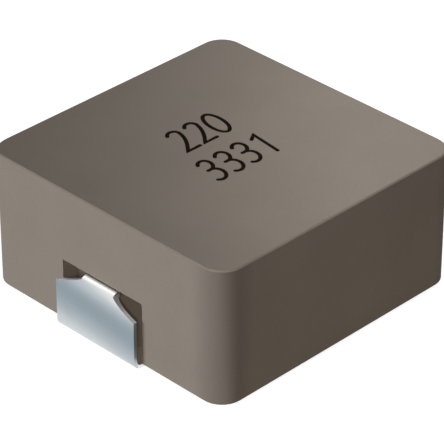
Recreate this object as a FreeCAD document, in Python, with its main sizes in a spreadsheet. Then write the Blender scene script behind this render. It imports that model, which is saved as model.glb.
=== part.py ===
import FreeCAD, Part
import os
import Sketcher

# Shielded surface-mount inductor: a flat-wire coil moulded into a square block of pressed iron
# powder, which is both its core and its shield, with a folded solder terminal at each end.
# Millimetres. X runs from terminal to terminal, Z is up, and the origin is on the board below the
# middle of the part.

# Driving sizes
SIZES = {
    # Moulded case
    "case_length": 12.5,
    "case_width": 12.5,
    "case_height": 5.8,
    "seat_gap": 0.1,
    "corner_radius": 0.95,
    "edge_break": 0.05,
    # Recess for the folded terminal in each end face
    "notch_depth": 0.65,
    "notch_side_gap": 0.03,
    "notch_headroom": 0.05,
    "end_wall": 0.6,
    "side_wall": 1.45,
    # Terminal strip
    "strip_thickness": 0.15,
    "terminal_width": 4.2,
    "terminal_projection": 0.4,
    "tab_length": 2.3,
    "tab_gap": 0.02,
    "plate_height": 2.12,
    "shoulder_rise": 0.5,
    "neck_step": 0.13,
    "neck_width": 1.7,
    "ear_width": 2.6,
    "foot_bend": 0.2,
    "neck_bend": 0.33,
    # Enamelled flat wire
    "wire_thickness": 0.16,
    "wire_width": 1.45,
    "film": 0.02,
    "turns": 11,
    "lead_length": 1.3,
}

# Sizes that follow from the driving ones
CASE_TOP = "(Sizes.seat_gap + Sizes.case_height)"
COIL_LEVEL = "(Sizes.seat_gap + Sizes.case_height / 2)"
COIL_TOP = f"({COIL_LEVEL} + Sizes.film + Sizes.wire_width)"
COIL_FOOT = f"({COIL_LEVEL} - Sizes.film - Sizes.wire_width)"
NECK_TOP = "(Sizes.plate_height + Sizes.shoulder_rise + Sizes.neck_step)"
NECK_FOOT = f"({NECK_TOP} - Sizes.strip_thickness)"
NOTCH_FLOOR = "(Sizes.case_length / 2 - Sizes.notch_depth)"
EAR_FACE_BY_LENGTH = f"{NOTCH_FLOOR} - Sizes.end_wall - Sizes.strip_thickness"
COIL_SIDE_BY_WIDTH = "Sizes.case_width / 2 - Sizes.side_wall"
LEAD_FACE = f"min({EAR_FACE_BY_LENGTH}; {COIL_SIDE_BY_WIDTH})"
ROOM_RADIUS = f"({LEAD_FACE} + Sizes.film)"
TURN_PITCH = "(Sizes.wire_thickness + 2 * Sizes.film)"
OUTER_TURN = f"({LEAD_FACE} - Sizes.film - Sizes.wire_thickness / 2)"
INNER_TURN = f"({OUTER_TURN} - Sizes.turns * {TURN_PITCH})"
CORE_RADIUS = f"({INNER_TURN} - Sizes.wire_thickness / 2 - Sizes.film)"

# Half a turn in degrees, and the distance under which two places on the model are the same
HALF_ROUND = 180
SAME_PLACE = 1e-6

document = FreeCAD.newDocument("smd_inductor")
sheet = document.addObject("Spreadsheet::Sheet", "Sizes")
for row, (alias, size) in enumerate(SIZES.items(), start=1):
    sheet.set(f"A{row}", alias)
    sheet.set(f"B{row}", str(size))
    sheet.setAlias(f"B{row}", alias)
document.recompute()


def value(expression):
    """The number that an expression on the sheet gives now."""
    return float(sheet.evalExpression(expression))


def origin_plane(body, role):
    """One of a body's own origin planes."""
    return next(item for item in body.Origin.OriginFeatures if item.Role == role)


def outline(body, name, role, level, loops):
    """A sketch of closed straight-sided loops whose corners are pairs of expressions."""
    sketch = body.newObject("Sketcher::SketchObject", name)
    sketch.AttachmentSupport = [(origin_plane(body, role), "")]
    sketch.MapMode = "FlatFace"
    sketch.setExpression("AttachmentOffset.Base.z", level)
    for corners in loops:
        places = [FreeCAD.Vector(value(across), value(along), 0) for across, along in corners]
        first = sketch.GeometryCount
        for start, end in zip(places, places[1:] + places[:1]):
            sketch.addGeometry(Part.LineSegment(start, end), False)
        last = sketch.GeometryCount - 1
        for side in range(first, last + 1):
            next_side = side + 1 if side < last else first
            sketch.addConstraint(Sketcher.Constraint("Coincident", side, 2, next_side, 1))
        for side, place, corner in zip(range(first, last + 1), places, corners):
            for direction, size, expression in zip(("DistanceX", "DistanceY"), place, corner):
                rule = Sketcher.Constraint(direction, -1, 1, side, 1, size)
                index = sketch.addConstraint(rule)
                sketch.setExpression(f"Constraints[{index}]", expression)
    document.recompute()
    return sketch


def pad(body, name, sketch, length, symmetric=False):
    """Material from a sketch, along its normal or to both sides of it."""
    feature = body.newObject("PartDesign::Pad", name)
    feature.Profile = sketch
    feature.setExpression("Length", length)
    if symmetric:
        feature.SideType = "Symmetric"
    document.recompute()
    return feature


def pocket(body, name, sketch, length):
    """A cut from a sketch, along its normal."""
    before = body.Shape.Volume
    feature = body.newObject("PartDesign::Pocket", name)
    feature.Profile = sketch
    feature.setExpression("Length", length)
    feature.Reversed = True
    document.recompute()
    if not body.Shape.Volume < before:
        raise ValueError(f"{name} cuts nothing")
    return feature


def dress_edges(body, kind, name, size, chosen):
    """A Fillet or a Chamfer on those edges of the body that a test on the edge picks out."""
    base = body.Tip
    names = [f"Edge{n}" for n, edge in enumerate(base.Shape.Edges, start=1) if chosen(edge)]
    feature = body.newObject(f"PartDesign::{kind}", name)
    feature.Base = (base, names)
    feature.setExpression("Radius" if kind == "Fillet" else "Size", size)
    document.recompute()
    return feature


def runs_along(edge, axis):
    """Whether an edge is straight and parallel to an axis."""
    if not isinstance(edge.Curve, Part.Line):
        return False
    return abs(abs(edge.Curve.Direction.dot(axis)) - 1) < SAME_PLACE


def lies_at_level(edge, level):
    """Whether the whole edge lies in one level plane."""
    box = edge.BoundBox
    return max(abs(box.ZMin - level), abs(box.ZMax - level)) < SAME_PLACE


def end_rectangle(sign, inner, outer, half_width):
    """Corners of a rectangle at one end of the part, across its middle."""
    near = f"{sign}{inner}"
    far = f"{sign}{outer}"
    return [(near, f"-{half_width}"), (far, f"-{half_width}"), (far, half_width), (near, half_width)]


def pressed_block():
    """The outer form of the powder block: rounded corners, end notches and tab recesses."""
    block = document.addObject("PartDesign::Body", "PressedBlock")
    end = "Sizes.case_length / 2"
    side = "Sizes.case_width / 2"
    plan = [(f"-{end}", f"-{side}"), (end, f"-{side}"), (end, side), (f"-{end}", side)]
    plan_sketch = outline(block, "Plan", "XY_Plane", "Sizes.seat_gap", [plan])
    pad(block, "Block", plan_sketch, "Sizes.case_height")
    up = FreeCAD.Vector(0, 0, 1)
    dress_edges(block, "Fillet", "Corners", "Sizes.corner_radius", lambda edge: runs_along(edge, up))
    rims = (value("Sizes.seat_gap"), value(CASE_TOP))
    on_rim = lambda edge: any(lies_at_level(edge, rim) for rim in rims)
    dress_edges(block, "Chamfer", "Rims", "Sizes.edge_break", on_rim)

    half_width = "(Sizes.terminal_width / 2 + Sizes.notch_side_gap)"
    outside = "(Sizes.case_length / 2 + Sizes.notch_depth)"
    tab_end = "(Sizes.case_length / 2 - Sizes.tab_length - Sizes.notch_side_gap)"
    notches = []
    recesses = []
    for sign in ("-", ""):
        notches.append(end_rectangle(sign, NOTCH_FLOOR, outside, half_width))
        recesses.append(end_rectangle(sign, tab_end, outside, half_width))
    notch_plan = outline(block, "NotchPlan", "XY_Plane", "Sizes.seat_gap", notches)
    pocket(block, "Notches", notch_plan, f"{NECK_TOP} + Sizes.notch_headroom - Sizes.seat_gap")
    tab_plan = outline(block, "TabPlan", "XY_Plane", "Sizes.seat_gap", recesses)
    pocket(block, "Recesses", tab_plan, "Sizes.strip_thickness + Sizes.tab_gap - Sizes.seat_gap")
    return block


def terminal(name, rises):
    """One folded terminal at the -X end; its inner ear rises to the upper coil or drops to the lower."""
    body = document.addObject("PartDesign::Body", name)
    tab_end = "-(Sizes.case_length / 2 - Sizes.tab_length)"
    front = "-(Sizes.case_length / 2 + Sizes.terminal_projection)"
    back = f"{front} + Sizes.strip_thickness"
    ear_face = f"-{LEAD_FACE}"
    ear_back = f"{ear_face} - Sizes.strip_thickness"
    thick = "Sizes.strip_thickness"
    if rises:
        ear = [(ear_back, NECK_TOP), (ear_back, COIL_TOP), (ear_face, COIL_TOP), (ear_face, NECK_FOOT)]
    else:
        ear = [(ear_face, NECK_TOP), (ear_face, COIL_FOOT), (ear_back, COIL_FOOT), (ear_back, NECK_FOOT)]
    strip = [(tab_end, "0"), (front, "0"), (front, NECK_TOP)]
    strip += ear
    strip += [(back, NECK_FOOT), (back, thick), (tab_end, thick)]
    fold = outline(body, f"{name}Fold", "XZ_Plane", "0", [strip])
    pad(body, f"{name}Strip", fold, "Sizes.terminal_width", symmetric=True)

    # Bends: the inside of each has the bend radius, the outside one strip thickness more
    across = FreeCAD.Vector(0, 1, 0)

    def fold_edges(places):
        spots = [(value(x), value(z)) for x, z in places]

        def chosen(edge):
            if not runs_along(edge, across):
                return False
            middle = edge.BoundBox.Center
            return any(abs(middle.x - x) + abs(middle.z - z) < SAME_PLACE for x, z in spots)

        return chosen

    ear_inside = (ear_back, NECK_TOP if rises else NECK_FOOT)
    ear_outside = (ear_face, NECK_FOOT if rises else NECK_TOP)
    foot_outside = "Sizes.foot_bend + Sizes.strip_thickness"
    neck_outside = "Sizes.neck_bend + Sizes.strip_thickness"
    bends = {
        "FootInside": ("Sizes.foot_bend", [(back, thick)]),
        "FootOutside": (foot_outside, [(front, "0")]),
        "NeckInside": ("Sizes.neck_bend", [(back, NECK_FOOT), ear_inside]),
        "NeckOutside": (neck_outside, [(front, NECK_TOP), ear_outside]),
    }
    for bend, (radius, places) in bends.items():
        dress_edges(body, "Fillet", f"{name}{bend}", radius, fold_edges(places))

    # Sloping shoulders where the plate narrows to the neck, then the neck and the ear at their widths
    shoulder_foot = "Sizes.plate_height"
    shoulder_top = "(Sizes.plate_height + Sizes.shoulder_rise)"
    above = f"({NECK_TOP} + Sizes.strip_thickness)"
    neck_start = f"{back} + Sizes.neck_bend"
    ear_start = f"{ear_back} - Sizes.neck_bend"
    beyond_ear = f"{ear_face} + Sizes.strip_thickness"
    shoulders = []
    waists = []
    for sign in ("-", ""):
        neck_side = f"{sign}Sizes.neck_width / 2"
        ear_side = f"{sign}Sizes.ear_width / 2"
        plate_side = f"{sign}Sizes.terminal_width / 2"
        clear = f"{sign}(Sizes.terminal_width / 2 + Sizes.strip_thickness)"
        shoulders.append([
            (neck_side, shoulder_top), (plate_side, shoulder_foot), (clear, shoulder_foot),
            (clear, above), (neck_side, above),
        ])
        waists.append([
            (neck_start, neck_side), (ear_start, neck_side), (ear_start, ear_side),
            (beyond_ear, ear_side), (beyond_ear, clear), (neck_start, clear),
        ])
    shoulder_view = outline(body, f"{name}ShoulderView", "YZ_Plane", front, shoulders)
    pocket(body, f"{name}Shoulders", shoulder_view, "Sizes.strip_thickness + Sizes.neck_bend")
    above_foot_bend = foot_outside
    waist_plan = outline(body, f"{name}WaistPlan", "XY_Plane", above_foot_bend, waists)
    pocket(body, f"{name}Waist", waist_plan, COIL_TOP)
    return body


def half_turn(centre, radius, lower):
    """Half a turn of wire in plan, from its start on the X axis round to its end there."""
    sign = -1 if lower else 1
    start = FreeCAD.Vector(centre + sign * radius, 0, 0)
    middle = FreeCAD.Vector(centre, sign * radius, 0)
    end = FreeCAD.Vector(centre - sign * radius, 0, 0)
    return Part.Arc(start, middle, end).toShape()


def pancake():
    """The upper of the two flat spirals in plan, as a face: it starts inside at -X and leaves at -X."""
    pitch = value(TURN_PITCH)
    thickness = value("Sizes.wire_thickness")
    film = value("Sizes.film")
    inner = value(INNER_TURN)
    outer = value(OUTER_TURN)
    turns = round(value("Sizes.turns"))

    def side(offset):
        edges = []
        for turn in range(turns):
            edges.append(half_turn(pitch / 2, inner + (turn + 0.5) * pitch + offset, True))
            if turn < turns - 1:
                edges.append(half_turn(0, inner + (turn + 1) * pitch + offset, False))
        edges.append(half_turn(-film / 2, outer + film / 2 + offset, False))
        lead = -(outer + film + offset)
        lead_start = FreeCAD.Vector(lead, 0, 0)
        lead_end = FreeCAD.Vector(lead, -value("Sizes.lead_length"), 0)
        edges.append(Part.LineSegment(lead_start, lead_end).toShape())
        return edges, FreeCAD.Vector(-(inner + offset), 0, 0), lead_end

    near, near_start, near_end = side(-thickness / 2)
    far, far_start, far_end = side(thickness / 2)
    caps = [Part.LineSegment(near_end, far_end).toShape(), Part.LineSegment(near_start, far_start).toShape()]
    return Part.Face(Part.Wire(Part.__sortEdges__(near + far + caps)))


def crossover():
    """The innermost half turn, which steps down from the upper spiral to the lower one."""
    thickness = value("Sizes.wire_thickness")
    inner = value(INNER_TURN)
    level = value(COIL_LEVEL)
    top = value(COIL_TOP)
    foot = value(COIL_FOOT)
    width = value("Sizes.wire_width")
    up = FreeCAD.Vector(0, 0, 1)
    base = FreeCAD.Vector(0, 0, foot)
    shell = Part.makeCylinder(inner + thickness / 2, top - foot, base, up, HALF_ROUND)
    shell = shell.cut(Part.makeCylinder(inner - thickness / 2, top - foot, base, up))
    reach = inner + thickness
    ramp = inner - thickness / 2
    profile = [
        (-reach, top), (-ramp, top), (ramp, foot + width), (reach, foot + width),
        (reach, foot), (ramp, foot), (-ramp, top - width), (-reach, top - width),
    ]
    corners = [FreeCAD.Vector(x, 0, z) for x, z in profile]
    slab = Part.Face(Part.makePolygon(corners + corners[:1])).extrude(FreeCAD.Vector(0, reach, 0))
    return shell.common(slab)


def winding():
    """Flat wire wound edge-up in two spirals on one centre, both ends leaving from the outside."""
    width = FreeCAD.Vector(0, 0, value("Sizes.wire_width"))
    level = value(COIL_LEVEL)
    film = value("Sizes.film")
    spiral = pancake()
    upper = spiral.extrude(width)
    upper.translate(FreeCAD.Vector(0, 0, level + film))
    lower = spiral.mirror(FreeCAD.Vector(), FreeCAD.Vector(1, 0, 0)).extrude(width)
    lower.translate(FreeCAD.Vector(0, 0, level - film) - width)
    coil = document.addObject("Part::Feature", "Winding")
    coil.Shape = upper.fuse([crossover(), lower]).removeSplitter()
    coil.Placement = FreeCAD.Placement()
    return coil


def coil_room():
    """The room that the coil takes in the powder: a ring and the two straight leads beside it."""
    ring = document.addObject("Part::Cylinder", "RoomOutside")
    ring.setExpression("Radius", ROOM_RADIUS)
    core = document.addObject("Part::Cylinder", "CentrePost")
    core.setExpression("Radius", CORE_RADIUS)
    for cylinder in (ring, core):
        cylinder.setExpression("Height", f"{COIL_TOP} - {COIL_FOOT} + 2 * Sizes.film")
        cylinder.setExpression("Placement.Base.z", f"{COIL_FOOT} - Sizes.film")
    room = document.addObject("Part::Cut", "RingRoom")
    room.Base = ring
    room.Tool = core

    lead_inside = f"({LEAD_FACE} - Sizes.wire_thickness - Sizes.film)"
    lead_room = "Sizes.wire_thickness + 2 * Sizes.film"
    places = {
        "LeftLeadRoom": (f"-({LEAD_FACE} + Sizes.film)", COIL_LEVEL),
        "RightLeadRoom": (lead_inside, f"{COIL_FOOT} - Sizes.film"),
    }
    leads = []
    for name, (start, foot) in places.items():
        lead = document.addObject("Part::Box", name)
        lead.setExpression("Length", lead_room)
        lead.setExpression("Width", "Sizes.lead_length + Sizes.film")
        lead.setExpression("Height", "Sizes.wire_width + 2 * Sizes.film")
        lead.setExpression("Placement.Base.x", start)
        lead.setExpression("Placement.Base.y", "-(Sizes.lead_length + Sizes.film)")
        lead.setExpression("Placement.Base.z", foot)
        leads.append(lead)
    return [room] + leads


left = terminal("TerminalLeft", True)
left.Label = "terminal_left"
right = terminal("TerminalRight", False)
right.Label = "terminal_right"
right.Placement = FreeCAD.Placement(FreeCAD.Vector(), FreeCAD.Rotation(FreeCAD.Vector(0, 0, 1), HALF_ROUND))
coil = winding()
coil.Label = "winding"
held = document.addObject("Part::MultiFuse", "MouldedIn")
held.Shapes = coil_room() + [left, right]
case = document.addObject("Part::Cut", "MouldedBody")
case.Base = pressed_block()
case.Tool = held
case.Label = "moulded_body"
document.recompute()

for item in document.Objects:
    if "Invalid" in item.State or "Error" in item.State:
        raise ValueError(f"{item.Label} failed: {item.State}")
for piece in (case, coil, left, right):
    if piece.Shape.isNull() or not piece.Shape.isValid() or len(piece.Shape.Solids) != 1:
        raise ValueError(f"{piece.Label} is not one sound solid")

os.makedirs("parts", exist_ok=True)
for piece in (case, coil, left, right):
    piece.Shape.exportStep(f"parts/{piece.Label}.step")
    print(f"{piece.Label}: {piece.Shape.Volume:.3f} mm3")
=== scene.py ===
"""Looks of a shielded surface-mount inductor: powder block, tinned terminals, printed value."""

import math

import bmesh
import bpy
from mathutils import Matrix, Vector


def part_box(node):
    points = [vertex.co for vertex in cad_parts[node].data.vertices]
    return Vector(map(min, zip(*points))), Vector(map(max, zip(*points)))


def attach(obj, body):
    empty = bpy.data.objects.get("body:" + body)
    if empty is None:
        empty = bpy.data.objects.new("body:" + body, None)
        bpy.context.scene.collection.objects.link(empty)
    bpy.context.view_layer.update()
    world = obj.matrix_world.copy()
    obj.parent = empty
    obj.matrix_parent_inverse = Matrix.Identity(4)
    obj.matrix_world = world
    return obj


MM = 0.001

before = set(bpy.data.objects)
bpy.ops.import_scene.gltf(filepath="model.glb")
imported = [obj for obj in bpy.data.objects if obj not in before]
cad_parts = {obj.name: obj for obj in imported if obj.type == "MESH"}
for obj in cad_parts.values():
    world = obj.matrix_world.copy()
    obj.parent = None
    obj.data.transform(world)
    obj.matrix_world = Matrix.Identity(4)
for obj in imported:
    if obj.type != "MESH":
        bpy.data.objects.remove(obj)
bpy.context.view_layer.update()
_, body_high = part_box("moulded_body")
_, strip_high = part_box("terminal_right")
end_face, case_top = body_high.x / MM, body_high.z / MM
strip_end, strip_side, neck_top = strip_high.x / MM, strip_high.y / MM, strip_high.z / MM


# Node helpers

class Shader:
    """A material's node tree, with short calls for the nodes used here."""

    def __init__(self, name):
        self.material = bpy.data.materials.new(name)
        self.material.use_nodes = True
        self.tree = self.material.node_tree
        self.surface = self.tree.nodes["Principled BSDF"]

    def add(self, kind, **settings):
        node = self.tree.nodes.new(kind)
        for name, setting in settings.items():
            setattr(node, name, setting)
        return node

    def link(self, source, target):
        self.tree.links.new(source, target)

    def place(self, stretch=(1, 1, 1)):
        """Object coordinates in millimetres, so that scales read as features per millimetre."""
        coordinates = self.add("ShaderNodeTexCoord")
        mapping = self.add("ShaderNodeMapping")
        mapping.inputs["Scale"].default_value = [factor / MM for factor in stretch]
        self.link(coordinates.outputs["Object"], mapping.inputs["Vector"])
        return mapping.outputs["Vector"]

    def axes(self, vector):
        """The X, Y and Z outputs of a vector."""
        node = self.add("ShaderNodeSeparateXYZ")
        self.link(vector, node.inputs["Vector"])
        return node.outputs

    def facing(self):
        """The X, Y and Z outputs of the surface's own direction."""
        return self.axes(self.add("ShaderNodeNewGeometry").outputs["Normal"])

    def noise(self, place, scale, detail=2.0, roughness=0.5):
        node = self.add("ShaderNodeTexNoise")
        node.inputs["Scale"].default_value = scale
        node.inputs["Detail"].default_value = detail
        node.inputs["Roughness"].default_value = roughness
        self.link(place, node.inputs["Vector"])
        return node.outputs["Fac"]

    def ramp(self, factor, stops):
        """Colours along a factor: stops are (position, (red, green, blue))."""
        node = self.add("ShaderNodeValToRGB")
        elements = node.color_ramp.elements
        while len(elements) < len(stops):
            elements.new(0.5)
        for element, (position, colour) in zip(elements, stops):
            element.position = position
            element.color = (*colour, 1)
        self.link(factor, node.inputs["Fac"])
        return node.outputs["Color"]

    def between(self, factor, low, high, to_low, to_high, smooth=True):
        """Maps a factor from one range to another, held at the ends."""
        kind = "SMOOTHSTEP" if smooth else "LINEAR"
        node = self.add("ShaderNodeMapRange", interpolation_type=kind)
        ends = {"From Min": low, "From Max": high, "To Min": to_low, "To Max": to_high}
        for name, number in ends.items():
            node.inputs[name].default_value = number
        self.link(factor, node.inputs["Value"])
        return node.outputs["Result"]

    def size_of(self, number):
        """A number without its sign."""
        node = self.add("ShaderNodeMath", operation="ABSOLUTE")
        self.link(number, node.inputs[0])
        return node.outputs[0]

    def times(self, first, *others):
        """The product of two or more numbers."""
        for other in others:
            node = self.add("ShaderNodeMath", operation="MULTIPLY")
            self.link(first, node.inputs[0])
            self.link(other, node.inputs[1])
            first = node.outputs[0]
        return first

    def sum_of(self, first, first_share, second, second_share):
        """The sum of two numbers, each times its share."""
        products = []
        for source, share in ((first, first_share), (second, second_share)):
            product = self.add("ShaderNodeMath", operation="MULTIPLY")
            product.inputs[1].default_value = share
            self.link(source, product.inputs[0])
            products.append(product.outputs[0])
        total = self.add("ShaderNodeMath", operation="ADD")
        self.link(products[0], total.inputs[0])
        self.link(products[1], total.inputs[1])
        return total.outputs[0]

    def mix(self, factor, first, second, blend="MIX"):
        """The first colour at factor 0 and the second at 1. Each part is a number or an output."""
        node = self.add("ShaderNodeMix", data_type="RGBA", blend_type=blend)
        for source, name in ((factor, "Factor"), (first, "A"), (second, "B")):
            socket = node.inputs[name]
            if isinstance(source, tuple):
                socket.default_value = (*source, 1)
            elif isinstance(source, float):
                socket.default_value = source
            else:
                self.link(source, socket)
        return node.outputs["Result"]

    def bump(self, height, strength, depth_mm):
        """Roughens the surface by a height from 0 to 1."""
        node = self.add("ShaderNodeBump")
        node.inputs["Strength"].default_value = strength
        node.inputs["Distance"].default_value = depth_mm * MM
        self.link(height, node.inputs["Height"])
        self.link(node.outputs["Normal"], self.surface.inputs["Normal"])

    def settings(self, **numbers):
        """Sets the surface's own numbers, named as its sockets are."""
        for name, number in numbers.items():
            socket = name.replace("_", " ").title().replace("Ior", "IOR")
            self.surface.inputs[socket].default_value = number


def shades(colour, darker, lighter):
    """The same colour at two levels round it."""
    return tuple(part * darker for part in colour), tuple(part * lighter for part in colour)


# Materials. Places are in millimetres, directions are unit vectors, and masks run from 0 to 1

WHITE = (1.0, 1.0, 1.0)
BLACK = (0.0, 0.0, 0.0)
FINE_DETAIL = 3.0
# The part of a noise's range that a colour or roughness runs over
NOISE_LOW, NOISE_HIGH = 0.3, 0.7
# A face counts as facing along an axis when its direction's share on that axis passes these
FLAT_FROM, FLAT_TO = 0.3, 0.7

POWDER = (0.254, 0.223, 0.191)
POWDER_SHADES = (0.94, 1.06)
POWDER_ROUGHNESS = (0.62, 0.76)
POWDER_SPECULAR = 0.05
GRAIN_SCALE = 14.0
GRAIN_ROUGHNESS = 0.6
GRAIN_LOW, GRAIN_HIGH = 0.2, 0.8
CLOUD_SCALE = 0.45
GRAIN_SHARE, CLOUD_SHARE = 0.6, 0.4
GRAIN_BUMP, GRAIN_DEPTH = 0.25, 0.006
FOOT_TONE, RIM_TONE = 1.09, 0.91
PLAIN_FACE_FROM, PLAIN_FACE_TO = 0.5, 0.9

# Along X times Y, which is largest at two opposite upright corners. The photograph shows one
# of them, darker than its faces, and the hidden one is taken to be the same
# Painted shade on those two corners
PAINTED_CORNER_SHADE = (0.76, 0.76, 0.76)
CORNER_FROM, CORNER_TO = 28.0, 36.0

# The end recesses' walls are painted paler than the block, because little light reaches in
# there and the photograph shows them lighter than that leaves them
PAINTED_RECESS_LIGHT = (0.46, 0.40, 0.345)
# Above this fade the back walls keep the block's own colour
RECESS_LIGHT_FADE_FROM, RECESS_LIGHT_FADE_TO = 2.15, 2.4
# Painted shade on a recess's back wall beside one shoulder, with a share of it on the side walls
PAINTED_WALL_SHADE = (0.165, 0.137, 0.112)
WALL_SHADE_FROM, WALL_SHADE_TO = -8.0, -5.0
SIDE_WALL_SHARE = 0.35
RECESS_HALF_WIDTH = strip_side + 0.04
RECESS_TOP = neck_top + 0.06
RECESS_DEPTH_FROM, RECESS_DEPTH_TO = 0.04, 0.01
RECESS_EDGE = 0.02

# Painted tones from the foot of the plate to the top of the neck, as the photograph has them
# Painted reflection over the tin's own colour: dark mid-plate, paler towards the foot and the neck
TIN_AND_REFLECTION_TONES = (
    (0.0, (0.57, 0.615, 0.64)),
    (0.13, (0.53, 0.567, 0.585)),
    (0.26, (0.406, 0.453, 0.484)),
    (0.38, (0.324, 0.376, 0.415)),
    (0.50, (0.272, 0.327, 0.364)),
    (0.62, (0.257, 0.314, 0.348)),
    (0.72, (0.280, 0.340, 0.371)),
    (0.80, (0.348, 0.406, 0.442)),
    (0.86, (0.426, 0.478, 0.515)),
    (0.91, (0.518, 0.558, 0.585)),
    (0.96, (0.70, 0.72, 0.73)),
    (1.0, (0.82, 0.82, 0.82)),
)
# How far the painted reflection's bands lean across the plate, per millimetre of Y
PAINTED_REFLECTION_TILT = -0.107
TIN_SHADES = (0.95, 1.05)
TIN_ROUGHNESS = (0.30, 0.38)
ROLLING_STRETCH = (1.0, 14.0, 0.6)
ROLLING_SCALE = 1.6
TIN_CLOUD_SCALE = 1.1
ROLLING_SHARE, TIN_CLOUD_SHARE = 0.35, 0.65
ROLLING_BUMP, ROLLING_DEPTH = 0.08, 0.003
INNER_TIN = (0.80, 0.80, 0.79)
INNER_FROM, INNER_TO = strip_end - 0.21, strip_end - 0.17
# Cut edges: matte, painted pale as a highlight, with painted shade towards the neck
PAINTED_CUT_HIGHLIGHT = (0.90, 0.93, 0.98)
CUT_STOPS = ((0.25, BLACK), (0.32, WHITE), (0.45, WHITE), (0.60, BLACK))
PAINTED_CUT_SHADE = (0.42, 0.43, 0.44)
CUT_SHADE_FROM, CUT_SHADE_TO = 2.22, 2.55
# The tab's inner face: matte and painted brown in place of its reflection of the recess
PAINTED_TAB_REFLECTION = (0.60, 0.53, 0.46)
TAB_FADE_FROM, TAB_FADE_TO = 0.5, 0.8
TAB_SIDE_FROM, TAB_SIDE_TO = 0.3, 0.6
DULL_METALLIC = 0.1

COPPER = (0.62, 0.26, 0.11)
COPPER_SHADES = (0.85, 1.1)
COPPER_ROUGHNESS = (0.22, 0.36)
ENAMEL_WEIGHT, ENAMEL_ROUGHNESS = 0.6, 0.12
COPPER_STREAK_SCALE = 3.0
COPPER_BUMP, COPPER_DEPTH = 0.1, 0.004

INK = (0.014, 0.0095, 0.007)
INK_SHADES = (0.8, 1.6)
INK_ROUGHNESS = (0.55, 0.75)
INK_LOW, INK_HIGH = 0.35, 0.75


def powder_grain(shader, place):
    """The block's fine grain, which the print on it shows too."""
    return shader.noise(place, GRAIN_SCALE, FINE_DETAIL, GRAIN_ROUGHNESS)


def pressed_powder():
    """Resin-bonded iron powder: fine even grain, faint cloudy mottling and a matte skin.

    The masks paint in shading that the photograph has and the lamps don't give: a darker pair of
    upright corners, graded side faces and paler end recesses.
    """
    shader = Shader("pressed_powder_grain")
    place = shader.place()
    grain = powder_grain(shader, place)
    cloud = shader.noise(place, CLOUD_SCALE)
    both = shader.sum_of(grain, GRAIN_SHARE, cloud, CLOUD_SHARE)
    dark, light = shades(POWDER, *POWDER_SHADES)
    colour = shader.ramp(both, [(NOISE_LOW, dark), (NOISE_HIGH, light)])
    parts, facing = shader.axes(place), shader.facing()
    # Painted shade on two upright corners, then on the side faces towards the rim
    corner_shade = shader.mix(corner_mask(shader, parts, facing), WHITE, PAINTED_CORNER_SHADE)
    shaded_colour = shader.mix(1.0, colour, corner_shade, "MULTIPLY")
    shaded_colour = shader.mix(1.0, shaded_colour, side_tone(shader, parts, facing), "MULTIPLY")
    # Painted light on the recess walls, and painted shade on a stretch of one back wall
    recess = shader.mix(wall_shade_mask(shader, parts, facing), PAINTED_RECESS_LIGHT, PAINTED_WALL_SHADE)
    recess_painted = shader.mix(recess_mask(shader, parts, facing), shaded_colour, recess)
    shader.link(recess_painted, shader.surface.inputs["Base Color"])
    roughness = shader.between(grain, GRAIN_LOW, GRAIN_HIGH, *POWDER_ROUGHNESS)
    shader.link(roughness, shader.surface.inputs["Roughness"])
    shader.settings(specular_ior_level=POWDER_SPECULAR)
    shader.bump(grain, GRAIN_BUMP, GRAIN_DEPTH)
    return shader.material


def side_tone(shader, parts, facing):
    """Painted shading: the faces without terminals darken a little from foot to rim."""
    height = shader.between(parts["Z"], 0.0, case_top, 0.0, 1.0, smooth=False)
    graded = shader.ramp(height, [(0.0, (FOOT_TONE,) * 3), (1.0, (RIM_TONE,) * 3)])
    across = shader.size_of(facing["Y"])
    plain = shader.between(across, PLAIN_FACE_FROM, PLAIN_FACE_TO, 0.0, 1.0)
    return shader.mix(plain, WHITE, graded)


def recess_mask(shader, parts, facing):
    """1 on the walls inside the end recesses, 0 on the outer faces and high on the back walls."""
    length, across = shader.size_of(parts["X"]), shader.size_of(parts["Y"])
    ends = (end_face - RECESS_DEPTH_FROM, end_face - RECESS_DEPTH_TO)
    inside = shader.between(length, *ends, 1.0, 0.0)
    sides = (RECESS_HALF_WIDTH, RECESS_HALF_WIDTH + RECESS_EDGE)
    within = shader.between(across, *sides, 1.0, 0.0)
    below = shader.between(parts["Z"], RECESS_TOP, RECESS_TOP + RECESS_EDGE, 1.0, 0.0)
    back = shader.between(shader.size_of(facing["X"]), FLAT_FROM, FLAT_TO, 0.0, 1.0)
    high = shader.between(parts["Z"], RECESS_LIGHT_FADE_FROM, RECESS_LIGHT_FADE_TO, 0.0, 1.0)
    # Painted light on all recess walls but the high parts of the back walls
    painted_light_share = shader.between(shader.times(back, high), 0.0, 1.0, 1.0, 0.0, smooth=False)
    return shader.times(inside, within, below, painted_light_share)


def wall_shade_mask(shader, parts, facing):
    """1 on a recess's back wall beside one shoulder, which the photograph shows dark."""
    # Painted shade goes here, and a share of it on the side walls
    product = shader.times(parts["X"], parts["Y"])
    side = shader.between(product, WALL_SHADE_FROM, WALL_SHADE_TO, 1.0, 0.0)
    length = shader.size_of(facing["X"])
    back = shader.between(length, FLAT_FROM, FLAT_TO, SIDE_WALL_SHARE, 1.0)
    return shader.times(side, back)


def corner_mask(shader, parts, facing):
    """1 on two opposite upright corners, 0 on the top, fading out on the side faces by them."""
    product = shader.times(parts["X"], parts["Y"])
    corner = shader.between(product, CORNER_FROM, CORNER_TO, 0.0, 1.0)
    upright = shader.between(shader.size_of(facing["Z"]), FLAT_FROM, FLAT_TO, 1.0, 0.0)
    return shader.times(corner, upright)


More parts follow.
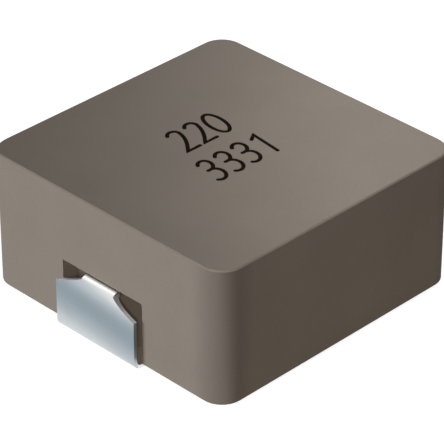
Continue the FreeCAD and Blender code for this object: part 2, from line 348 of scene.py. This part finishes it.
def tinned_strip():
    """Tin plating with faint rolling lines.

    The plate's tones run along its height as the photograph's do: that gradient is painted
    reflection, darker mid-plate and paler towards the foot and the neck. The shoulders' cut edges
    are matte, painted pale as a highlight, with painted shade near the neck. The tab's inner face
    is matte too and painted brown in place of a reflection: as a mirror it showed as a dark block
    beside the plate.
    """
    shader = Shader("tin_plating")
    place = shader.place()
    lines = shader.noise(shader.place(stretch=ROLLING_STRETCH), ROLLING_SCALE)
    cloud = shader.noise(place, TIN_CLOUD_SCALE, detail=FINE_DETAIL)
    both = shader.sum_of(lines, ROLLING_SHARE, cloud, TIN_CLOUD_SHARE)
    parts, facing = shader.axes(place), shader.facing()
    # Painted reflection along the plate's height, leaning a little across it
    tilted = shader.sum_of(parts["Z"], 1.0, parts["Y"], PAINTED_REFLECTION_TILT)
    up = shader.between(tilted, 0.0, neck_top, 0.0, 1.0, smooth=False)
    reflection_tone = shader.ramp(up, TIN_AND_REFLECTION_TONES)
    inner = shader.between(shader.size_of(parts["X"]), INNER_FROM, INNER_TO, 1.0, 0.0)
    sideways = shader.size_of(facing["Y"])
    low = shader.between(parts["Z"], TAB_FADE_FROM, TAB_FADE_TO, 1.0, 0.0)
    level = shader.between(sideways, TAB_SIDE_FROM, TAB_SIDE_TO, 1.0, 0.0)
    # Where the tab's inner face gets its painted brown
    dulled = shader.times(inner, low, level)
    plated = shader.mix(dulled, shader.mix(inner, reflection_tone, INNER_TIN), PAINTED_TAB_REFLECTION)
    # Painted highlight on the cut edges, with painted shade near the neck
    cut = shader.ramp(sideways, CUT_STOPS)
    high = shader.between(parts["Z"], CUT_SHADE_FROM, CUT_SHADE_TO, 0.0, 1.0)
    plated = shader.mix(cut, plated, shader.mix(high, PAINTED_CUT_HIGHLIGHT, PAINTED_CUT_SHADE))
    bright = shader.between(cut, 0.0, 1.0, 1.0, DULL_METALLIC, smooth=False)
    clean = shader.between(dulled, 0.0, 1.0, 1.0, DULL_METALLIC, smooth=False)
    shader.link(shader.times(bright, clean), shader.surface.inputs["Metallic"])
    dark, light = shades(WHITE, *TIN_SHADES)
    streaks = shader.ramp(both, [(NOISE_LOW, dark), (NOISE_HIGH, light)])
    streaked = shader.mix(1.0, plated, streaks, "MULTIPLY")
    shader.link(streaked, shader.surface.inputs["Base Color"])
    roughness = shader.between(both, NOISE_LOW, NOISE_HIGH, *TIN_ROUGHNESS)
    shader.link(roughness, shader.surface.inputs["Roughness"])
    shader.bump(lines, ROLLING_BUMP, ROLLING_DEPTH)
    return shader.material


def enamelled_copper():
    """Flat copper wire under clear amber enamel."""
    shader = Shader("copper_under_enamel")
    place = shader.place()
    streaks = shader.noise(place, COPPER_STREAK_SCALE, detail=FINE_DETAIL)
    dark, light = shades(COPPER, *COPPER_SHADES)
    colour = shader.ramp(streaks, [(NOISE_LOW, dark), (NOISE_HIGH, light)])
    shader.link(colour, shader.surface.inputs["Base Color"])
    roughness = shader.between(streaks, NOISE_LOW, NOISE_HIGH, *COPPER_ROUGHNESS)
    shader.link(roughness, shader.surface.inputs["Roughness"])
    shader.settings(
        metallic=1.0, coat_weight=ENAMEL_WEIGHT, coat_roughness=ENAMEL_ROUGHNESS,
    )
    shader.bump(streaks, COPPER_BUMP, COPPER_DEPTH)
    return shader.material


def marking_ink():
    """Thin dark print that shows the block's grain."""
    shader = Shader("marking_ink")
    grain = powder_grain(shader, shader.place())
    dark, light = shades(INK, *INK_SHADES)
    colour = shader.ramp(grain, [(INK_LOW, dark), (INK_HIGH, light)])
    shader.link(colour, shader.surface.inputs["Base Color"])
    roughness = shader.between(grain, GRAIN_LOW, GRAIN_HIGH, *INK_ROUGHNESS)
    shader.link(roughness, shader.surface.inputs["Roughness"])
    shader.settings(specular_ior_level=0.0)
    return shader.material


def dress(node_name, material):
    """Puts a material into a CAD node's slot."""
    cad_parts[node_name].material_slots[0].material = material


dress("moulded_body", pressed_powder())
dress("winding", enamelled_copper())
tin = tinned_strip()
dress("terminal_left", tin)
dress("terminal_right", tin)


# The printed value: two rows of plain digits, in millimetres on the top face

ROWS = (("220", (-1.108, 0.69)), ("3331", (-1.78, -1.626)))
DIGIT_HEIGHT = 1.48
DIGIT_WIDTH = 0.64
DIGIT_PITCH = 0.9
STROKE_WIDTH = 0.161
SLANT = 0.12
WAIST_SHARE = 0.54
INK_THICKNESS = 0.002
ARC_STEP = 9
SWEEP_STEPS = 10
ROUND_END_STEPS = 8
SAME_POINT = 1e-6
SHARPEST_MITRE = 0.5


def arc(centre, radii, start, end):
    """Points round an ellipse from one angle to another, in degrees."""
    steps = max(2, round(abs(end - start) / ARC_STEP))
    angles = [math.radians(start + (end - start) * step / steps) for step in range(steps + 1)]
    (x, y), (wide, high) = centre, radii
    return [(x + wide * math.cos(angle), y + high * math.sin(angle)) for angle in angles]


def sweep(start, control, end):
    """Points of a curve that leaves the start, not among them, towards the control point."""
    points = []
    for step in range(1, SWEEP_STEPS + 1):
        t = step / SWEEP_STEPS
        points.append(tuple(
            a * (1 - t) ** 2 + 2 * b * t * (1 - t) + c * t ** 2
            for a, b, c in zip(start, control, end)
        ))
    return points


def digit_strokes(digit):
    """The centre lines of one upright digit, in millimetres from its own lower left corner."""
    width, height = DIGIT_WIDTH, DIGIT_HEIGHT
    waist = WAIST_SHARE * height
    bowl = (height - waist) / 2
    if digit == "0":
        return [arc((width * 0.52, height / 2), (width * 0.54, height / 2), 0, 360)]
    if digit == "1":
        top = 0.97 * height
        return [[(0.11, 0.86 * top), (0.40, top), (0.40, 0)]]
    if digit == "2":
        crown = arc((0.29, height - 0.3), (0.28, 0.3), 155, -15)
        return [crown + sweep(crown[-1], (0.52, 0.42 * height), (0, 0)) + [(width, 0)]]
    upper = arc((0.28, waist + bowl), (0.28, bowl), 150, -90)
    lower = arc((0.25, waist / 2), (0.33, waist / 2), 80, -130)
    return [upper + [(0.14, waist)], lower]


def ribbon(mesh, points, corner, low, high):
    """One pen stroke with round ends, as a thin closed solid between two heights."""
    half = STROKE_WIDTH / 2
    path = [Vector((x + SLANT * y, y)) + corner for x, y in points]
    closed = (path[0] - path[-1]).length < SAME_POINT
    if closed:
        path.pop()
    count = len(path)
    lefts, rights = [], []
    for index, point in enumerate(path):
        into = point - path[index - 1] if closed or index else path[1] - point
        out = path[(index + 1) % count] - point if closed or index < count - 1 else into
        along = (into.normalized() + out.normalized()).normalized()
        mitre = max(SHARPEST_MITRE, along.dot(into.normalized()))
        across = Vector((-along.y, along.x)) * half / mitre
        lefts.append(point + across)
        rights.append(point - across)

    def raised(place):
        """The two vertices of a place: on top and at the foot."""
        return [mesh.verts.new((place.x * MM, place.y * MM, level)) for level in (high, low)]

    def wall(first, second):
        mesh.faces.new((first[0], first[1], second[1], second[0]))

    left_posts = [raised(place) for place in lefts]
    right_posts = [raised(place) for place in rights]
    for index in range(count if closed else count - 1):
        after = (index + 1) % count
        a, b = left_posts[index], left_posts[after]
        c, d = right_posts[index], right_posts[after]
        mesh.faces.new((a[0], c[0], d[0], b[0]))
        mesh.faces.new((a[1], b[1], d[1], c[1]))
        wall(b, a)
        wall(c, d)
    if closed:
        return
    for end, inner, posts in (
        (0, 1, (left_posts[0], right_posts[0])),
        (count - 1, count - 2, (right_posts[-1], left_posts[-1])),
    ):
        heading = path[end] - path[inner]
        start = math.atan2(heading.y, heading.x) - math.pi / 2
        rim = [posts[0]]
        for step in range(1, ROUND_END_STEPS):
            angle = start + math.pi * step / ROUND_END_STEPS
            rim.append(raised(path[end] + half * Vector((math.cos(angle), math.sin(angle)))))
        rim.append(posts[1])
        mesh.faces.new([post[0] for post in rim])
        mesh.faces.new([post[1] for post in reversed(rim)])
        for first, second in zip(rim, rim[1:]):
            wall(first, second)


def printed_digits():
    """Each row is one piece. Strokes that cross in a digit differ a little in height."""
    ink = marking_ink()
    low = body_high.z - INK_THICKNESS * MM
    for row, (digits, start) in enumerate(ROWS, 1):
        mesh = bmesh.new()
        for place, digit in enumerate(digits):
            corner = Vector(start) + Vector((DIGIT_PITCH * place, 0))
            for layer, points in enumerate(digit_strokes(digit), 1):
                ribbon(mesh, points, corner, low, body_high.z + layer * INK_THICKNESS * MM / 2)
        bmesh.ops.recalc_face_normals(mesh, faces=mesh.faces)
        data = bpy.data.meshes.new(f"printed_row_{row}")
        mesh.to_mesh(data)
        mesh.free()
        piece = bpy.data.objects.new(f"printed_row_{row}", data)
        data.materials.append(ink)
        bpy.context.scene.collection.objects.link(piece)
        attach(piece, "root")


printed_digits()


# The camera's place, which the fill lamp shares. Angles are in degrees

CAMERA_AZIMUTH = -45
CAMERA_ELEVATION = 32.43
DISTANCE = 108.61 * MM
AIM_HEIGHT = 2.587 * MM
LENS = 231.1
SENSOR = 36.0
CLIP_NEAR, CLIP_FAR = 0.005, 10.0


# Floor, surroundings and lamps. Sizes and distances without a unit are in metres

FLOOR_HALF = 1.5
FLOOR_DROP = 0.01 * MM
FLOOR_COLOUR = (0.38, 0.34, 0.30)
FLOOR_GLOW_NEAR = 0.88
FLOOR_GLOW_FAR = 1.0
FLOOR_GLOW_REACH = (14.0, 60.0)
FLOOR_LIT_SHARE = 0.5
AMBIENT_COLOUR = (1.15, 1.0, 0.88)
AMBIENT_LEVEL = 0.012
LAMP_DISTANCE = 0.4
KEY_AZIMUTH = -101
KEY_ELEVATION = 6
KEY_SIZE = 0.22
KEY_LEVEL = 1.2
KEY_COLOUR = (0.97, 1.0, 1.04)
FILL_SIZE = 0.06
FILL_LEVEL = 0.232
FILL_COLOUR = (1.12, 1.0, 0.9)
SIDE_AZIMUTH = 125
SIDE_ELEVATION = 3
SIDE_SIZE = 0.22
SIDE_LEVEL = 0.42
SHEEN_AZIMUTH = -174
SHEEN_ELEVATION = 53
SHEEN_SIZE = 0.13
SHEEN_LEVEL = 0.045
STRIP_PLACE = Vector((5.3, -3.2, 16.0)) * MM
STRIP_SIZE = (30.0 * MM, 3.0 * MM)
STRIP_TURN = 45
STRIP_BRIGHTNESS = 5.12


def seen_directly(tree):
    """1 for camera, glossy and transmission rays, 0 for the rest."""
    path = tree.nodes.new("ShaderNodeLightPath")
    either = tree.nodes.new("ShaderNodeMath")
    either.operation = "MAXIMUM"
    tree.links.new(path.outputs["Is Camera Ray"], either.inputs[0])
    tree.links.new(path.outputs["Is Glossy Ray"], either.inputs[1])
    any_of = tree.nodes.new("ShaderNodeMath")
    any_of.operation = "MAXIMUM"
    tree.links.new(either.outputs[0], any_of.inputs[0])
    tree.links.new(path.outputs["Is Transmission Ray"], any_of.inputs[1])
    return any_of.outputs[0]


def glow_by_distance(tree):
    """The floor's own light, a little lower near the part so that its shadow shows there."""
    coordinates = tree.nodes.new("ShaderNodeTexCoord")
    length = tree.nodes.new("ShaderNodeVectorMath")
    length.operation = "LENGTH"
    tree.links.new(coordinates.outputs["Object"], length.inputs[0])
    level = tree.nodes.new("ShaderNodeMapRange")
    near, far = (reach * MM for reach in FLOOR_GLOW_REACH)
    level.inputs["From Min"].default_value = near
    level.inputs["From Max"].default_value = far
    level.inputs["To Min"].default_value = FLOOR_GLOW_NEAR
    level.inputs["To Max"].default_value = FLOOR_GLOW_FAR
    tree.links.new(length.outputs["Value"], level.inputs["Value"])
    return level.outputs["Result"]


def pale_floor():
    """White to the camera and in reflections, and darker as a source of bounced light."""
    mesh = bmesh.new()
    corners = [(-FLOOR_HALF, -FLOOR_HALF), (FLOOR_HALF, -FLOOR_HALF),
               (FLOOR_HALF, FLOOR_HALF), (-FLOOR_HALF, FLOOR_HALF)]
    mesh.faces.new([mesh.verts.new((x, y, -FLOOR_DROP)) for x, y in corners])
    data = bpy.data.meshes.new("floor")
    mesh.to_mesh(data)
    mesh.free()
    floor = bpy.data.objects.new("floor", data)
    bpy.context.scene.collection.objects.link(floor)
    material = bpy.data.materials.new("floor_white")
    material.use_nodes = True
    tree = material.node_tree
    tree.nodes.clear()
    output = tree.nodes.new("ShaderNodeOutputMaterial")
    matte = tree.nodes.new("ShaderNodeBsdfDiffuse")
    matte.inputs["Color"].default_value = (*FLOOR_COLOUR, 1)
    shown = tree.nodes.new("ShaderNodeBsdfDiffuse")
    shown.inputs["Color"].default_value = (*[FLOOR_LIT_SHARE] * 3, 1)
    glow = tree.nodes.new("ShaderNodeEmission")
    tree.links.new(glow_by_distance(tree), glow.inputs["Strength"])
    white = tree.nodes.new("ShaderNodeAddShader")
    choice = tree.nodes.new("ShaderNodeMixShader")
    tree.links.new(shown.outputs[0], white.inputs[0])
    tree.links.new(glow.outputs[0], white.inputs[1])
    tree.links.new(seen_directly(tree), choice.inputs[0])
    tree.links.new(matte.outputs[0], choice.inputs[1])
    tree.links.new(white.outputs[0], choice.inputs[2])
    tree.links.new(choice.outputs[0], output.inputs["Surface"])
    data.materials.append(material)


def surroundings():
    """A white backdrop that lights the object only a little."""
    world = bpy.data.worlds.new("studio")
    world.use_nodes = True
    tree = world.node_tree
    tree.nodes.clear()
    output = tree.nodes.new("ShaderNodeOutputWorld")
    ambient = tree.nodes.new("ShaderNodeBackground")
    ambient.inputs["Color"].default_value = (*AMBIENT_COLOUR, 1)
    ambient.inputs["Strength"].default_value = AMBIENT_LEVEL
    white = tree.nodes.new("ShaderNodeBackground")
    choice = tree.nodes.new("ShaderNodeMixShader")
    white.inputs["Color"].default_value = (1, 1, 1, 1)
    tree.links.new(seen_directly(tree), choice.inputs[0])
    tree.links.new(ambient.outputs[0], choice.inputs[1])
    tree.links.new(white.outputs[0], choice.inputs[2])
    tree.links.new(choice.outputs[0], output.inputs["Surface"])
    bpy.context.scene.world = world


def lamp(name, place, facing, size, brightness, colour=(1, 1, 1)):
    """A flat soft lamp of (width, height) that shines along facing. A brightness of 1 is white."""
    light = bpy.data.lights.new(name, "AREA")
    light.shape = "RECTANGLE"
    light.size, light.size_y = size
    light.color = colour
    light.energy = brightness * math.pi * size[0] * size[1]
    piece = bpy.data.objects.new(name, light)
    piece.location = place
    piece.rotation_euler = facing.to_track_quat("-Z", "Y").to_euler()
    piece.visible_camera = False
    bpy.context.scene.collection.objects.link(piece)
    return piece


def towards(azimuth, elevation):
    """Unit vector from the object to a place round it, by the camera's angles in degrees."""
    turn, rise = math.radians(azimuth), math.radians(elevation)
    return Vector((
        math.sin(turn) * math.cos(rise),
        -math.cos(turn) * math.cos(rise),
        math.sin(rise),
    ))


def softbox(name, azimuth, elevation, size, level, colour=(1, 1, 1)):
    """A far square lamp aimed at the object. Level is what a white surface that faces it reads."""
    direction = towards(azimuth, elevation)
    brightness = level * math.pi * (LAMP_DISTANCE / size) ** 2
    return lamp(name, direction * LAMP_DISTANCE, -direction, (size, size), brightness, colour)


def only_matte(piece):
    """The lamp lights matte surfaces and isn't mirrored in the metal."""
    piece.visible_glossy = False


def only_mirrored(piece):
    """The lamp shows only as a reflection in the metal."""
    piece.visible_diffuse = False


def lights():
    key = softbox("key", KEY_AZIMUTH, KEY_ELEVATION, KEY_SIZE, KEY_LEVEL, KEY_COLOUR)
    fill = softbox("fill", CAMERA_AZIMUTH, CAMERA_ELEVATION, FILL_SIZE, FILL_LEVEL, FILL_COLOUR)
    side = softbox("side", SIDE_AZIMUTH, SIDE_ELEVATION, SIDE_SIZE, SIDE_LEVEL)
    sheen = softbox("sheen", SHEEN_AZIMUTH, SHEEN_ELEVATION, SHEEN_SIZE, SHEEN_LEVEL)
    strip = lamp("strip", STRIP_PLACE, Vector((0, 0, -1)), STRIP_SIZE, STRIP_BRIGHTNESS)
    strip.rotation_euler = (0, 0, math.radians(STRIP_TURN))
    for piece in (key, fill, side, strip):
        only_matte(piece)
    only_mirrored(sheen)


pale_floor()
surroundings()
lights()


def camera():
    """Looks at the middle of the part from the photograph's side."""
    back = towards(CAMERA_AZIMUTH, CAMERA_ELEVATION)
    data = bpy.data.cameras.new("camera")
    data.lens = LENS
    data.sensor_width = SENSOR
    data.clip_start = CLIP_NEAR
    data.clip_end = CLIP_FAR
    piece = bpy.data.objects.new("camera", data)
    piece.location = Vector((0, 0, AIM_HEIGHT)) + DISTANCE * back
    piece.rotation_euler = back.to_track_quat("Z", "Y").to_euler()
    bpy.context.scene.collection.objects.link(piece)
    bpy.context.scene.camera = piece


camera()
bpy.context.scene.view_settings.view_transform = "Standard"
